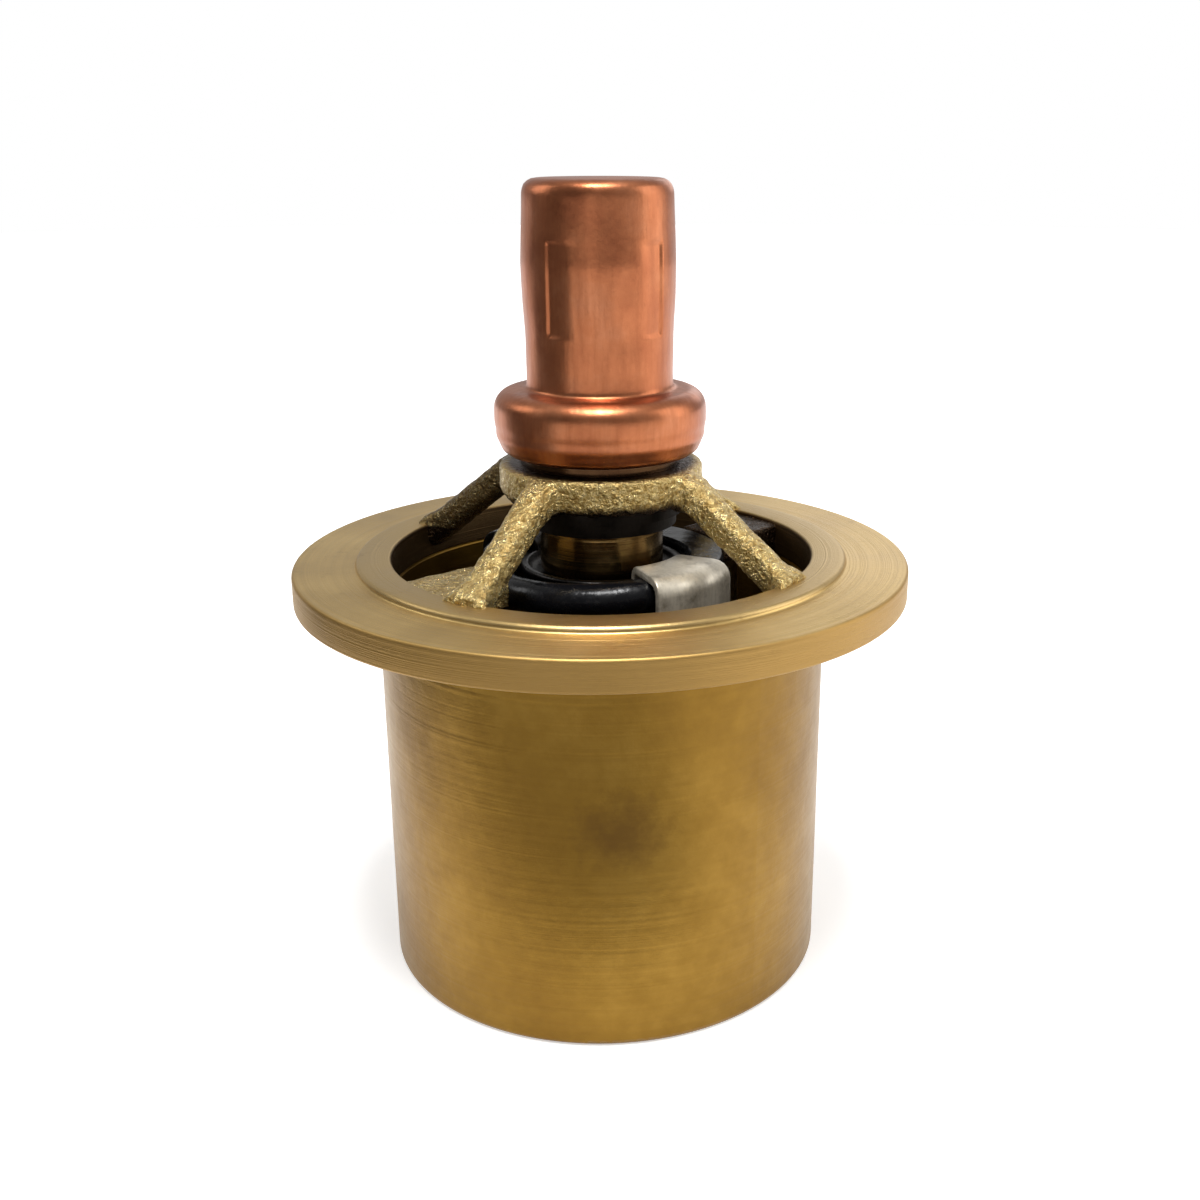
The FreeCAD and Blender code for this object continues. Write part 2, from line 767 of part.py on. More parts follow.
def make_element():
    """What the cup holds: wax, diaphragm, guide, plug, disc, piston and wiper."""
    wax_radius = cup_bore - running_gap
    wax_top = cup_top - cup_wall - running_gap
    turned("wax_charge", [
        (wax_radius, packing_top),
        (wax_radius, wax_top - cup_corner),
        Arc((wax_radius - cup_corner, wax_top), cup_corner),
        (0, wax_top),
        (0, packing_top),
    ])
    packed_radius = packing_radius - running_gap
    turned("diaphragm", [
        (packed_radius, guide_top),
        (packed_radius, packing_top),
        (0, packing_top),
        (0, guide_top),
    ])
    groove_radius = neck_radius - snap_groove
    wiper_top = neck_bottom + wiper_height
    turned("element_guide", [
        (wiper_radius, neck_bottom),
        (neck_radius - small_edge, neck_bottom),
        (neck_radius, neck_bottom + small_edge),
        (neck_radius, groove_bottom),
        (groove_radius, groove_bottom),
        (groove_radius, groove_top),
        (neck_radius, groove_top),
        (neck_radius, hub_top),
        (shoulder_radius, hub_top),
        (shoulder_radius, packing_bottom),
        (packed_radius, packing_bottom),
        (packed_radius, guide_top),
        (guide_bore + funnel, guide_top),
        (guide_bore, guide_top - funnel),
        (guide_bore, wiper_top),
        (wiper_radius, wiper_top),
    ])
    turned("rubber_plug", [
        (piston_radius, plug_bottom),
        (piston_radius, guide_top),
        (0, guide_top),
        (0, plug_bottom),
    ])
    turned("backup_disc", [
        (piston_radius, piston_top),
        (piston_radius, plug_bottom),
        (0, plug_bottom),
        (0, piston_top),
    ])
    turned("piston", [
        (piston_radius - small_edge, dish_floor),
        (piston_radius, dish_floor + small_edge),
        (piston_radius, piston_top - small_edge),
        (piston_radius - small_edge, piston_top),
        (0, piston_top),
        (0, dish_floor),
    ])
    turned("piston_wiper", [
        (guide_bore + small_edge, neck_bottom + small_edge),
        (wiper_radius - running_gap, neck_bottom + small_edge),
        (wiper_radius - running_gap, wiper_top),
        (guide_bore, wiper_top),
        (guide_bore, neck_bottom + small_edge * 2),
    ])


def make_hub_fasteners():
    """The washer and the open ring that hold the guide in the hub."""
    turned("hub_washer", [
        (neck_radius + loose_gap, groove_top),
        (washer_radius, groove_top),
        (washer_radius, hub_bottom),
        (neck_radius + loose_gap, hub_bottom),
    ])
    ring = new_body("neck_snap_ring")
    inside = neck_radius - snap_groove + running_gap
    turn(ring, "open_ring", [
        (inside, groove_bottom),
        (snap_radius, groove_bottom),
        (snap_radius, groove_top),
        (inside, groove_top),
    ], snap_sweep)
    aim(ring, bridge_azimuth + 180)


make_seat_casting()
make_sliding_sleeve()
make_spring_bridge()
make_bridge_rivets()
make_lower_spring_seat()
make_tie_rod("tie_rod_front", land_azimuth)
make_tie_rod("tie_rod_rear", land_azimuth + 180)
make_tie_nuts()
make_return_spring()
make_sensor_cup()
make_element()
make_hub_fasteners()

NODES = [
    "seat_casting", "sliding_sleeve", "spring_bridge", "bridge_rivets", "lower_spring_seat", "tie_rod_front",
    "tie_rod_rear", "tie_nuts", "return_spring", "sensor_cup", "wax_charge", "diaphragm", "element_guide",
    "rubber_plug", "backup_disc", "piston", "piston_wiper", "hub_washer", "neck_snap_ring",
]

doc.recompute()
for item in doc.Objects:
    if "Invalid" in item.State or "Error" in item.State:
        raise RuntimeError(f"{item.Label} did not build: {item.State}")

for node in NODES:
    shape = doc.getObjectsByLabel(node)[0].Shape
    if shape.isNull() or not shape.isValid():
        raise RuntimeError(f"{node} has no valid shape")
for node in NODES:
    shape = doc.getObjectsByLabel(node)[0].Shape
    shape.exportStep(f"parts/{node}.step")
    box = shape.BoundBox
    print(f"{node}: {len(shape.Solids)} solid(s), {shape.Volume:.1f} mm3, "
          f"z {box.ZMin:.2f} to {box.ZMax:.2f}, x {box.XMin:.2f} to {box.XMax:.2f}")
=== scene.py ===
# A temperature control valve with a wax element: a brass flange whose four cast legs carry a copper sensing
# cup, a black return spring with a steel bridge over it, and a tarnished brass sleeve. The scene is in
# metres and the outlines of its pieces are in millimetres; +Z is up the valve's axis.

import math

import bmesh
import bpy
from mathutils import Matrix, Vector, noise


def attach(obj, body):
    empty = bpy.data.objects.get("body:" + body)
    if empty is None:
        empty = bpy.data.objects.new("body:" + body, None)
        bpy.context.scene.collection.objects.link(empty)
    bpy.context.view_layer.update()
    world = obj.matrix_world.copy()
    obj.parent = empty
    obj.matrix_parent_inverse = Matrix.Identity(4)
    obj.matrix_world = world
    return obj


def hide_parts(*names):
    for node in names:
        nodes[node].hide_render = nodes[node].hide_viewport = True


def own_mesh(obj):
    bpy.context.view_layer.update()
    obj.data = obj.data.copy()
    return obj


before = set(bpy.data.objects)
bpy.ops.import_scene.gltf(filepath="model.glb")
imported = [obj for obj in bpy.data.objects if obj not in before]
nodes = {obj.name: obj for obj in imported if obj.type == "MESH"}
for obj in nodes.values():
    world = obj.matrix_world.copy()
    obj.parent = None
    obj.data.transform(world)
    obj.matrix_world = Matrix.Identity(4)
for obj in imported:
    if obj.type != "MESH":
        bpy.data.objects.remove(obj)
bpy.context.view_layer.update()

# Camera: the valve is seen from a little above the flange, close enough for the rim to curve clearly. The
# lens points a little right of the valve's axis, and the picture is shifted to put the valve in its middle.
FOCAL_PIXELS = 1415.5
PICTURE_PIXELS = 1200
LENS_AXIS_PIXELS = 53
SENSOR_WIDTH = 36.0
CAMERA_PLACE = (0.00641, -0.17082, 0.10262)
CAMERA_PITCH = math.radians(18.17)

camera_data = bpy.data.cameras.new("camera")
camera_data.sensor_width = SENSOR_WIDTH
camera_data.lens = FOCAL_PIXELS / PICTURE_PIXELS * SENSOR_WIDTH
camera_data.shift_x = -LENS_AXIS_PIXELS / PICTURE_PIXELS
camera_data.clip_start = 0.01
camera = bpy.data.objects.new("camera", camera_data)
bpy.context.scene.collection.objects.link(camera)
camera.location = CAMERA_PLACE
camera.rotation_euler = (math.pi / 2 - CAMERA_PITCH, 0, 0)
bpy.context.scene.camera = camera
bpy.context.scene.view_settings.view_transform = "Standard"


# Floor and light: a white floor under the valve, five soft boxes over and round it, and two dark cards that
# only its metal mirrors. The floor is seen white and keeps the valve's shadow.
def new_material(name, color, roughness, metallic=0.0):
    """A material with its shader, which the caller adds texture to."""
    material = bpy.data.materials.new(name)
    material.use_nodes = True
    shader = material.node_tree.nodes["Principled BSDF"]
    shader.inputs["Base Color"].default_value = (*color, 1)
    shader.inputs["Roughness"].default_value = roughness
    shader.inputs["Metallic"].default_value = metallic
    return material


def put(tree, kind, feeds=None, **settings):
    """Adds a shader node. Feeds are its inputs, each a value or the socket that it comes from."""
    added = tree.nodes.new("ShaderNode" + kind)
    for key, value in settings.items():
        setattr(added, key, value)
    for key, value in (feeds or {}).items():
        if isinstance(value, bpy.types.NodeSocket):
            tree.links.new(value, added.inputs[key])
        else:
            added.inputs[key].default_value = value
    return added


def object_place(tree):
    return put(tree, "TexCoord").outputs["Object"]


def math_of(tree, operation, first, second=0.0):
    return put(tree, "Math", {0: first, 1: second}, operation=operation).outputs[0]


def spread(tree, value, low, high, to_low, to_high):
    """Maps a range of values to another and stops at its ends."""
    feeds = {"Value": value, "From Min": low, "From Max": high, "To Min": to_low, "To Max": to_high}
    return put(tree, "MapRange", feeds).outputs[0]


def seen_directly(tree):
    """One where the camera sees a surface itself, mirrored or through glass."""
    rays = put(tree, "LightPath").outputs
    either = math_of(tree, "MAXIMUM", rays["Is Camera Ray"], rays["Is Glossy Ray"])
    return math_of(tree, "MAXIMUM", either, rays["Is Transmission Ray"])


FLOOR_RADIUS = 1.6
FLOOR_GAP = 0.00002
NEAR_GLOW = 0.5
floor_mesh = bmesh.new()
bmesh.ops.create_circle(floor_mesh, cap_ends=True, segments=96, radius=FLOOR_RADIUS)
floor_data = bpy.data.meshes.new("floor")
floor_mesh.to_mesh(floor_data)
floor_mesh.free()
floor = bpy.data.objects.new("floor", floor_data)
bpy.context.scene.collection.objects.link(floor)
floor.location.z = -FLOOR_GAP

floor_material = new_material("white_floor", (0.86, 0.86, 0.86), 0.9)
tree = floor_material.node_tree
away = put(tree, "VectorMath", {0: object_place(tree)}, operation="LENGTH").outputs["Value"]
glow = math_of(tree, "MULTIPLY", seen_directly(tree), spread(tree, away, 0.12, 0.7, NEAR_GLOW, 1.0))
shader = tree.nodes["Principled BSDF"]
shader.inputs["Emission Color"].default_value = (1, 1, 1, 1)
tree.links.new(glow, shader.inputs["Emission Strength"])
floor_data.materials.append(floor_material)

# The room is darker where the photographer stands, and lighter behind the valve and to its right.
ROOM_BRIGHT_SIDE = (0.60, 0.79, 0.1)
ROOM_DARK = 0.12
ROOM_BRIGHT = 0.55
world = bpy.data.worlds.new("studio")
bpy.context.scene.world = world
world.use_nodes = True
tree = world.node_tree
background = tree.nodes["Background"]
background.inputs["Color"].default_value = (1, 1, 1, 1)
rays = put(tree, "LightPath").outputs
shown = math_of(tree, "MAXIMUM", rays["Is Camera Ray"], rays["Is Transmission Ray"])
direction = put(tree, "TexCoord").outputs["Generated"]
bright_side = put(tree, "VectorMath", {0: direction, 1: ROOM_BRIGHT_SIDE}, operation="DOT_PRODUCT")
room = spread(tree, bright_side.outputs["Value"], -0.9, 0.6, ROOM_DARK, ROOM_BRIGHT)
strength = math_of(tree, "MAXIMUM", shown, room)
tree.links.new(strength, background.inputs["Strength"])


def soft_box(name, place, target, width, height, power):
    """A rectangular lamp that looks at a point on the valve's axis."""
    light_data = bpy.data.lights.new(name, "AREA")
    light_data.shape = "RECTANGLE"
    light_data.size = width
    light_data.size_y = height
    light_data.energy = power
    light = bpy.data.objects.new(name, light_data)
    bpy.context.scene.collection.objects.link(light)
    light.location = place
    aim = Vector(target) - Vector(place)
    light.rotation_euler = aim.to_track_quat("-Z", "Y").to_euler()


soft_box("overhead", (0.0, -0.15, 0.55), (0, 0, 0.07), 0.16, 0.15, 2.9)
soft_box("right_box", (0.55, 0.02, 0.28), (0, 0, 0.05), 0.35, 0.50, 1.2)
soft_box("rear_right_box", (0.20, 0.50, 0.22), (0, 0, 0.05), 0.30, 0.20, 0.22)
soft_box("front_box", (-0.08, -0.50, 0.13), (0, 0, 0.06), 0.06, 0.24, 0.05)
soft_box("left_box", (-0.50, 0.10, 0.28), (0, 0, 0.05), 0.20, 0.45, 0.8)


def dark_card(name, place, width, height, turn, shade):
    """A studio card that only mirrors in the metal; it throws no shadow and no picture shows it."""
    mesh = bmesh.new()
    bmesh.ops.create_grid(mesh, x_segments=1, y_segments=1, size=0.5)
    bmesh.ops.scale(mesh, verts=mesh.verts[:], vec=(width, height, 1))
    bmesh.ops.transform(mesh, verts=mesh.verts[:], matrix=Matrix.Translation(place) @ turn)
    data = bpy.data.meshes.new(name)
    mesh.to_mesh(data)
    mesh.free()
    data.materials.append(new_material(name, (shade, shade, shade), 0.9))
    card = bpy.data.objects.new(name, data)
    bpy.context.scene.collection.objects.link(card)
    card.visible_camera = False
    card.visible_diffuse = False
    card.visible_shadow = False


dark_card("table_card", (-0.03, -0.125, 0.0004), 0.17, 0.15, Matrix(), 0.42)
dark_card("left_card", (-0.12, -0.03, 0.06), 0.12, 0.17, Matrix.Rotation(math.pi / 2, 4, "Y"), 0.10)


# The flange of the cast seat with its raised ring: brass, turned on a lathe whose lines are still visible.
# The ring is duller, because a gasket has lain on it, and the rim is painted darker, as shade on its upright
# face.
MM = 0.001
AXIS = (0, 0, 1)
ORIGIN = (0, 0, 0)
FLANGE_RADIUS = 38.0
FLANGE_UNDERSIDE = 48.8
FLANGE_TOP = 52.7
RING_RADIUS = 30.45
RING_TOP = 53.5
WINDOW_RADIUS = 26.05
SLEEVE_RECESS_RADIUS = 28.45
SLEEVE_RECESS_TOP = 49.2


def speckle(tree, place, size, detail=4.0, roughness=0.55):
    """Cloudy noise whose patches are about this size in metres."""
    feeds = {"Vector": place, "Scale": 1 / size, "Detail": detail, "Roughness": roughness}
    return put(tree, "TexNoise", feeds).outputs["Fac"]


def reach_of(tree, place):
    """The distance from the valve's axis."""
    flat = put(tree, "Mapping", {"Vector": place, "Scale": (1, 1, 0)}).outputs[0]
    return put(tree, "VectorMath", {0: flat}, operation="LENGTH").outputs["Value"]


def height_of(tree, place):
    return put(tree, "SeparateXYZ", {0: place}).outputs["Z"]


def lathe_lines(tree, place, size):
    """Noise that is the same all round the axis, as a lathe tool leaves it on a face or on a cylinder."""
    along = math_of(tree, "ADD", reach_of(tree, place), height_of(tree, place))
    feeds = {"W": along, "Scale": 1 / size, "Detail": 3.0, "Roughness": 0.6}
    return put(tree, "TexNoise", feeds, noise_dimensions="1D").outputs["Fac"]


def ramp(tree, factor, stops):
    """Turns a value into a colour through stops of place and colour."""
    added = put(tree, "ValToRGB", {0: factor})
    elements = added.color_ramp.elements
    while len(elements) < len(stops):
        elements.new(0.5)
    for element, (place, color) in zip(elements, stops):
        element.position = place
        element.color = (*color, 1)
    return added.outputs[0]


def blend_colors(tree, factor, below, above):
    """Mixes two colours, each a value or a socket. The node's sockets 6 and 7 are its two colours."""
    added = put(tree, "Mix", data_type="RGBA")
    for index, value in ((0, factor), (6, below), (7, above)):
        if isinstance(value, bpy.types.NodeSocket):
            tree.links.new(value, added.inputs[index])
        else:
            added.inputs[index].default_value = value if index == 0 else (*value, 1)
    return added.outputs[2]


def relief(tree, height, depth, under=None):
    """A bump of this depth in metres, on top of another one."""
    feeds = {"Height": height, "Distance": depth, "Strength": 1.0}
    if under is not None:
        feeds["Normal"] = under
    return put(tree, "Bump", feeds).outputs[0]


def wire(tree, color=None, roughness=None, normal=None):
    """Leads the finished texture into the shader."""
    inputs = tree.nodes["Principled BSDF"].inputs
    for key, socket in (("Base Color", color), ("Roughness", roughness), ("Normal", normal)):
        if socket is not None:
            tree.links.new(socket, inputs[key])


TURNED_BRASS = (0.62, 0.43, 0.165)
DULL_BRASS = (0.47, 0.33, 0.14)
SHADED_RIM_BRASS = (0.34, 0.20, 0.058)
turned_brass = new_material("turned_brass", TURNED_BRASS, 0.33, 1.0)
tree = turned_brass.node_tree
place = object_place(tree)
cloud = speckle(tree, place, 0.011)
lines = lathe_lines(tree, place, 0.0007)
brass_stops = [(0.30, (0.53, 0.355, 0.125)), (0.52, TURNED_BRASS), (0.75, (0.68, 0.49, 0.21))]
color = ramp(tree, cloud, brass_stops)
color = blend_colors(tree, spread(tree, lines, 0.35, 0.65, 0.0, 0.22), color, (0.44, 0.30, 0.12))
height = height_of(tree, place)
on_ring = spread(tree, height, (FLANGE_TOP + 0.2) * MM, (FLANGE_TOP + 0.4) * MM, 0.0, 0.8)
color = blend_colors(tree, on_ring, color, DULL_BRASS)
reach = reach_of(tree, place)
# The rim's darker colour is painted shade on its upright face.
on_rim = spread(tree, reach, (FLANGE_RADIUS - 0.4) * MM, (FLANGE_RADIUS - 0.1) * MM, 0.0, 0.85)
color = blend_colors(tree, on_rim, color, SHADED_RIM_BRASS)
stain = spread(tree, speckle(tree, place, 0.0035, 6.0, 0.7), 0.60, 0.74, 0.0, 0.35)
color = blend_colors(tree, stain, color, (0.24, 0.14, 0.05))
# The window's wall was never turned and is dull; its near-black brown is painted shade inside the window.
in_window = spread(tree, reach, (WINDOW_RADIUS + 0.05) * MM, (WINDOW_RADIUS + 0.25) * MM, 0.93, 0.0)
color = blend_colors(tree, in_window, color, (0.05, 0.026, 0.012))
duller = math_of(tree, "MULTIPLY", math_of(tree, "ADD", on_rim, in_window), 0.14)
rough = math_of(tree, "ADD", spread(tree, cloud, 0.3, 0.7, 0.34, 0.42), duller)
normal = relief(tree, lines, 0.00005)
normal = relief(tree, lathe_lines(tree, place, 0.0002), 0.00006, normal)
normal = relief(tree, speckle(tree, place, 0.0006, 3.0), 0.00002, normal)
wire(tree, color, rough, normal)

MERGE_DISTANCE = 0.0005


def outline_of(mesh, corners, closed=True):
    """Draws an outline of radius and height in millimetres; a third number in a corner rounds it."""
    points = [mesh.verts.new((corner[0], 0, corner[1])) for corner in corners]
    pairs = list(zip(points, points[1:] + points[:1]))
    for start, end in pairs if closed else pairs[:-1]:
        mesh.edges.new((start, end))
    for point, corner in zip(points, corners):
        if len(corner) > 2:
            bmesh.ops.bevel(mesh, geom=[point], offset=corner[2], segments=5, profile=0.5, affect="VERTICES",
                            material=-1)


def turn_outline(mesh, steps):
    """Turns the outline into a closed body about the valve's axis."""
    bmesh.ops.spin(mesh, geom=mesh.verts[:] + mesh.edges[:], cent=ORIGIN, axis=AXIS, angle=math.tau,
                   steps=steps, use_merge=True)
    bmesh.ops.remove_doubles(mesh, verts=mesh.verts[:], dist=MERGE_DISTANCE)
    bmesh.ops.dissolve_degenerate(mesh, edges=mesh.edges[:], dist=MERGE_DISTANCE)
    bmesh.ops.recalc_face_normals(mesh, faces=mesh.faces[:])


def finish_piece(mesh, name, material, body, sharp_angle=35):
    """Brings a mesh from millimetres to metres and makes it a piece that rides on a body."""
    for face in mesh.faces:
        face.smooth = True
    for edge in mesh.edges:
        edge.smooth = len(edge.link_faces) == 2 and edge.calc_face_angle() < math.radians(sharp_angle)
    bmesh.ops.scale(mesh, verts=mesh.verts[:], vec=(MM, MM, MM))
    data = bpy.data.meshes.new(name)
    mesh.to_mesh(data)
    mesh.free()
    data.materials.append(material)
    piece = bpy.data.objects.new(name, data)
    bpy.context.scene.collection.objects.link(piece)
    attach(piece, body)
    return piece


flange = bmesh.new()
outline_of(flange, [
    (SLEEVE_RECESS_RADIUS, FLANGE_UNDERSIDE), (FLANGE_RADIUS, FLANGE_UNDERSIDE, 0.4),
    (FLANGE_RADIUS, FLANGE_TOP, 0.45), (RING_RADIUS, FLANGE_TOP, 0.3), (RING_RADIUS - 0.25, RING_TOP, 0.45),
    (WINDOW_RADIUS, RING_TOP, 0.4), (WINDOW_RADIUS, SLEEVE_RECESS_TOP),
    (SLEEVE_RECESS_RADIUS, SLEEVE_RECESS_TOP),
])
turn_outline(flange, 320)
seat_flange = finish_piece(flange, "seat_flange", turned_brass, "seat")
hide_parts("seat_casting")

# Hub, legs and lands of the cast seat: brass left as it came from a sand mould, grainy and pitted, with a
# hub whose top and bore are machined. The legs flow out of the hub and end in the ring.
rough_brass = new_material("sand_cast_brass", (0.60, 0.44, 0.19), 0.4, 1.0)
tree = rough_brass.node_tree
place = object_place(tree)
height = put(tree, "Attribute", attribute_name="cast_height").outputs["Fac"]
grit = speckle(tree, place, 0.0005, 6.0, 0.68)
folds = speckle(tree, place, 0.0011, 3.0, 0.6)
wrinkles = math_of(tree, "ABSOLUTE", math_of(tree, "SUBTRACT", folds, 0.5))
uneven = math_of(tree, "MULTIPLY", math_of(tree, "SUBTRACT", grit, 0.5), 0.4)
level = math_of(tree, "ADD", height, uneven)
# The near-black blend below is painted shade: round the cup's foot, under the hub, on the rear land and at
# the rear left.
painted_shade = put(tree, "Attribute", attribute_name="cast_painted_shade").outputs["Fac"]
color = ramp(tree, level, [(0.22, (0.26, 0.165, 0.05)), (0.44, (0.44, 0.305, 0.11)),
                           (0.60, (0.52, 0.385, 0.155)), (0.84, (0.68, 0.55, 0.27))])
color = blend_colors(tree, painted_shade, color, (0.045, 0.028, 0.016))
rough = spread(tree, level, 0.25, 0.8, 0.42, 0.24)
normal = relief(tree, wrinkles, 0.0009)
normal = relief(tree, grit, 0.00016, normal)
normal = relief(tree, speckle(tree, place, 0.00016, 2.0), 0.00005, normal)
wire(tree, color, rough, normal)

HUB_BORE_RADIUS = 7.75
HUB_RADIUS = 12.45
HUB_UNDERSIDE = 60.35
HUB_TOP = 64.7
# Reach, height of the middle, width and upright depth of each section of a leg, from the hub to the ring.
LEG_SECTIONS = [
    (9.8, 62.35, 5.0, 4.4), (12.6, 62.30, 4.3, 4.6), (14.4, 61.35, 3.8, 4.7), (20.2, 56.90, 3.6, 4.7),
    (24.8, 53.40, 3.9, 4.7), (27.3, 51.75, 7.0, 5.0),
]
LEG_AZIMUTHS = [math.radians(azimuth) for azimuth in (-32.5, 57.0, 143.0, -121.0)]
LAND_AZIMUTH = math.radians(-48)
LAND_INNER_RADIUS = 16.25
LAND_OUTER_RADIUS = 27.0
LAND_UNDERSIDE = 49.6
LAND_TOP = 53.0
LAND_SECTOR = math.radians(56)
LAND_SIDES = (-6.0, 2.2)
CUT_TOLERANCE = 0.0001


def rotated(angle):
    """The turn about the valve's axis that brings +X to this azimuth, which counts from -Y towards +X."""
    return Matrix.Rotation(angle - math.pi / 2, 4, "Z")


def add_leg(mesh):
    """One leg along +X, as upright sections with round corners, bridged and closed at its ends."""
    rings = []
    for reach, middle, width, depth in LEG_SECTIONS:
        made = bmesh.ops.create_circle(mesh, segments=4, radius=math.sqrt(0.5))["verts"]
        bmesh.ops.rotate(mesh, verts=made, cent=ORIGIN, matrix=Matrix.Rotation(math.pi / 4, 3, "Z"))
        before = set(mesh.verts) - set(made)
        bmesh.ops.bevel(mesh, geom=made, offset=0.32, segments=4, profile=0.5, affect="VERTICES",
                        material=-1)
        ring = [point for point in mesh.verts if point not in before]
        bmesh.ops.scale(mesh, verts=ring, vec=(depth, width, 1))
        bmesh.ops.rotate(mesh, verts=ring, cent=ORIGIN, matrix=Matrix.Rotation(math.pi / 2, 3, "Y"))
        bmesh.ops.translate(mesh, verts=ring, vec=(reach, 0, middle))
        rings.append({edge for point in ring for edge in point.link_edges})
    for first, second in zip(rings, rings[1:]):
        bmesh.ops.bridge_loops(mesh, edges=list(first | second))
    for ring in (rings[0], rings[-1]):
        bmesh.ops.edgeloop_fill(mesh, edges=list(ring))


def add_land(mesh):
    """One land along +X, with parallel sides and an end that follows the spring."""
    outline_of(mesh, [
        (LAND_INNER_RADIUS, LAND_UNDERSIDE), (LAND_OUTER_RADIUS, LAND_UNDERSIDE),
        (LAND_OUTER_RADIUS, LAND_TOP), (LAND_INNER_RADIUS, LAND_TOP),
    ])
    bmesh.ops.rotate(mesh, verts=mesh.verts[:], cent=ORIGIN,
                     matrix=Matrix.Rotation(-LAND_SECTOR / 2, 3, "Z"))
    bmesh.ops.edgeloop_fill(mesh, edges=mesh.edges[:])
    bmesh.ops.spin(mesh, geom=mesh.faces[:], cent=ORIGIN, axis=AXIS, angle=LAND_SECTOR, steps=24)
    for offset in LAND_SIDES:
        outwards = (0, math.copysign(1, offset), 0)
        cut = bmesh.ops.bisect_plane(mesh, geom=mesh.verts[:] + mesh.edges[:] + mesh.faces[:],
                                     dist=CUT_TOLERANCE, plane_co=(0, offset, 0), plane_no=outwards,
                                     clear_outer=True)
        rim = [item for item in cut["geom_cut"] if isinstance(item, bmesh.types.BMEdge)]
        bmesh.ops.edgeloop_fill(mesh, edges=rim)


def joined(target, source, angles):
    """Adds a body to the target once for each azimuth."""
    data = bpy.data.meshes.new("one_body")
    bmesh.ops.recalc_face_normals(source, faces=source.faces[:])
    source.to_mesh(data)
    for angle in angles:
        before = set(target.verts)
        target.from_mesh(data)
        added = [point for point in target.verts if point not in before]
        bmesh.ops.transform(target, matrix=rotated(angle), verts=added)
    source.free()
    bpy.data.meshes.remove(data)


casting = bmesh.new()
hub = bmesh.new()
outline_of(hub, [
    (HUB_BORE_RADIUS, HUB_UNDERSIDE), (HUB_RADIUS - 0.05, HUB_UNDERSIDE, 1.5), (HUB_RADIUS, HUB_TOP, 0.3),
    (HUB_BORE_RADIUS, HUB_TOP, 0.3),
])
turn_outline(hub, 128)
joined(casting, hub, [0])
leg = bmesh.new()
add_leg(leg)
joined(casting, leg, LEG_AZIMUTHS)
land = bmesh.new()
add_land(land)
joined(casting, land, [LAND_AZIMUTH, LAND_AZIMUTH + math.pi])


def remeshed(mesh, voxel):
    """Joins what overlaps into one skin of small even faces."""
    data = bpy.data.meshes.new("before_remesh")
    mesh.to_mesh(data)
    holder = bpy.data.objects.new("before_remesh", data)
    bpy.context.scene.collection.objects.link(holder)
    modifier = holder.modifiers.new("skin", "REMESH")
    modifier.mode = "VOXEL"
    modifier.voxel_size = voxel
    graph = bpy.context.evaluated_depsgraph_get()
    made = bpy.data.meshes.new_from_object(holder.evaluated_get(graph))
    bpy.data.objects.remove(holder)
    mesh.clear()
    mesh.from_mesh(made)
    bpy.data.meshes.remove(made)
    bpy.data.meshes.remove(data)


def smooth_step(value, low, high):
    """Rises softly from nought at the low value to one at the high one."""
    share = min(max((value - low) / (high - low), 0.0), 1.0)
    return share * share * (3 - 2 * share)


CASTING_VOXEL = 0.27
SOFTENING_ROUNDS = 5
remeshed(casting, CASTING_VOXEL)
for _ in range(SOFTENING_ROUNDS):
    bmesh.ops.smooth_vert(casting, verts=casting.verts[:], factor=0.5, use_axis_x=True, use_axis_y=True,
                          use_axis_z=True)
casting.normal_update()
height_layer = casting.verts.layers.float.new("cast_height")
painted_shade_layer = casting.verts.layers.float.new("cast_painted_shade")
moves = []
for point in casting.verts:
    spot = point.co
    reach = math.hypot(spot.x, spot.y)
    coarse = noise.noise(spot * 0.55)
    grain = noise.noise(spot * 1.6 + Vector((7, 3, 1)))
    fine = noise.noise(spot * 3.1 + Vector((1, 9, 4)))
    on_top = smooth_step(spot.z, HUB_TOP - 0.5, HUB_TOP - 0.1)
    in_bore = 1 - smooth_step(reach, HUB_BORE_RADIUS + 0.15, HUB_BORE_RADIUS + 0.55)
    machined = max(on_top, in_bore)
    raw = (1 - machined) * (0.10 * coarse + 0.08 * grain + 0.05 * fine)
    point[height_layer] = 0.56 + 0.75 * (0.45 * grain + 0.55 * fine) * (1 - machined)
    # Painted shade lies round the cup's foot, under the hub, on the rear land, and at the rear left away
    # from the light.
    near_cup = 1 - smooth_step(reach, 10.9, 12.0)
    under_cup = smooth_step(spot.z, HUB_TOP - 0.8, HUB_TOP - 0.4) * near_cup
    near_hub = 1 - smooth_step(reach, 12.6, 14.0)
    shade_top = HUB_UNDERSIDE + 1.55 + 0.8 * coarse
    under_hub = (1 - smooth_step(spot.z, HUB_UNDERSIDE + 0.35, shade_top)) * near_hub
    on_rear_land = (1 - smooth_step(spot.z, LAND_TOP, LAND_TOP + 0.6)) * smooth_step(spot.y, 0, 5)
    away_from_light = 0.75 * smooth_step(spot.y - spot.x, 8.0, 13.0)
    point[painted_shade_layer] = max(under_cup, under_hub, on_rear_land, away_from_light)
    move = point.normal * (raw - 0.02)
    # The hub's lower edge was never machined and wavers.
    low_on_hub = 1 - smooth_step(spot.z, HUB_UNDERSIDE + 0.25, HUB_UNDERSIDE + 1.45)
    hub_foot = smooth_step(reach, 9.5, 11.5) * low_on_hub * (1 - smooth_step(reach, 13, 14))
    move.z += 0.35 * hub_foot * noise.noise(Vector((spot.x, spot.y, 0)) * 0.8)
    moves.append(move)
for point, move in zip(casting.verts, moves):
    point.co += move
seat_legs = finish_piece(casting, "seat_legs", rough_brass, "seat", 80)
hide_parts("seat_casting")

